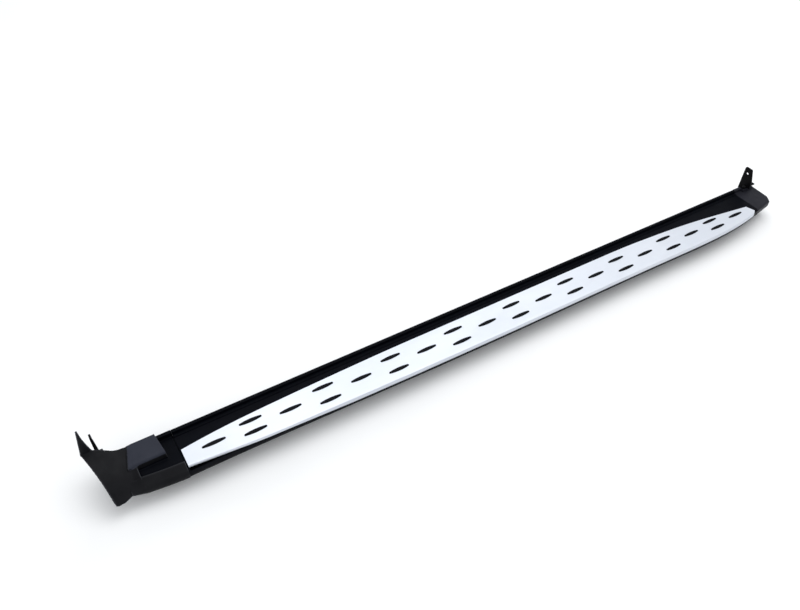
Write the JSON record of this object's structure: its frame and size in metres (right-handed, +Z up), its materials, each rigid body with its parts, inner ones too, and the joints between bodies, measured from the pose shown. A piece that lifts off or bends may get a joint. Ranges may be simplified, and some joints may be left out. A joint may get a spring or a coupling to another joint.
{
  "type": "running board",
  "caption": "Slim running board for a car's sill: black moulded deck with a bright tread plate, dark oval grips, end caps, a swept wheel-arch flap and brackets below.",
  "frame": {"origin": "middle of the two slotted bolt holes of the middle bracket, on its upper face, which pulls up against the sill", "axes": "+X along the board to the car's front, +Y inboard to the car's middle, +Z up"},
  "size_m": [1.925, 0.1512, 0.1626],
  "materials": {
    "deck_plastic": "satin blue-black moulded plastic",
    "cap_plastic": "finely grained charcoal moulded plastic",
    "cover_plastic": "plain dark moulded plastic",
    "tread_metal": "bright satin anodised sheet",
    "grip_rubber": "smooth near-black rubber",
    "pad_rubber": "matt black rubber",
    "beam_metal": "mill-finish extrusion",
    "bracket_paint": "black powder coat",
    "zinc_steel": "bright zinc plate",
    "black_steel": "black phosphate"
  },
  "bodies": {
    "root": {"deck_shell": "deck_plastic", "tread_plate": "tread_metal", "tread_nuts": "zinc_steel", "grip_inserts": "grip_rubber", "lower_cover": "cover_plastic", "cover_screws": "zinc_steel", "support_beam": "beam_metal", "beam_plugs": "cover_plastic", "sill_bracket_rear": "bracket_paint", "sill_bracket_middle": "bracket_paint", "sill_bracket_front": "bracket_paint", "isolator_pads": "pad_rubber", "channel_bolts": "zinc_steel", "channel_washers": "zinc_steel", "channel_nuts": "zinc_steel", "sill_seal": "pad_rubber", "front_cap": "cap_plastic", "front_tab": "bracket_paint", "front_tab_screws": "black_steel", "front_tab_nuts": "zinc_steel", "end_cap_bolts": "zinc_steel", "end_cap_nuts": "zinc_steel", "rear_cap": "cap_plastic", "arch_tab": "bracket_paint", "arch_tab_screws": "black_steel"}
  },
  "joints": []
}
